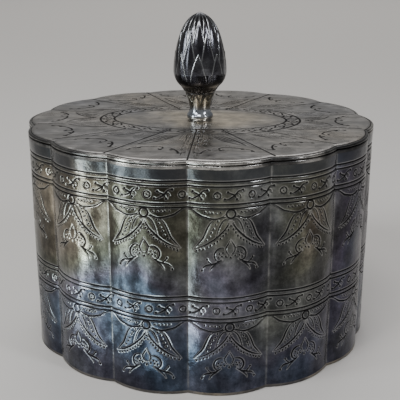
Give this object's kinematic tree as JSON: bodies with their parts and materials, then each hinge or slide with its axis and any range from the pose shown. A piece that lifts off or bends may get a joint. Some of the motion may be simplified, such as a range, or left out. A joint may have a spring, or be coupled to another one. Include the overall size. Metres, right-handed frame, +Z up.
{
  "type": "sugar bowl",
  "caption": "Slightly oval scalloped silver sugar bowl with straight engraved walls, a flat lift-off lid and an artichoke bud finial.",
  "frame": {"origin": "on the table under the middle of the bowl, at the centre of its outline", "axes": "+Z up through the finial, +X along the longer axis of the oval, the pictured side faces -Y"},
  "size_m": [0.1136, 0.1064, 0.1066],
  "materials": {
    "engraved_silver": "tarnished silver plate, bright-cut engraving with dark grooves",
    "lid_silver": "worn silver plate, hairline scratched, engraved",
    "rim_silver": "bright rubbed silver plate edge",
    "plain_silver": "plain silver plate with light tarnish",
    "cast_silver": "cast silver with dark patina in the hollows",
    "fastener_metal": "dull brass"
  },
  "bodies": {
    "bowl": {"base_plate": "plain_silver", "body_wall": "engraved_silver", "mouth_rim": "rim_silver"},
    "lid": {"lid_plate": "lid_silver", "lid_rim": "rim_silver", "lid_collar": "plain_silver", "finial_foot": "cast_silver", "finial_bud": "cast_silver", "finial_stud": "fastener_metal", "finial_washer": "fastener_metal", "finial_nut": "fastener_metal"}
  },
  "joints": [
    {"name": "lid_lift", "type": "slide", "parent": "bowl", "child": "lid", "axis": [0, 0, 1], "range_m": [0, 0.07]}
  ]
}
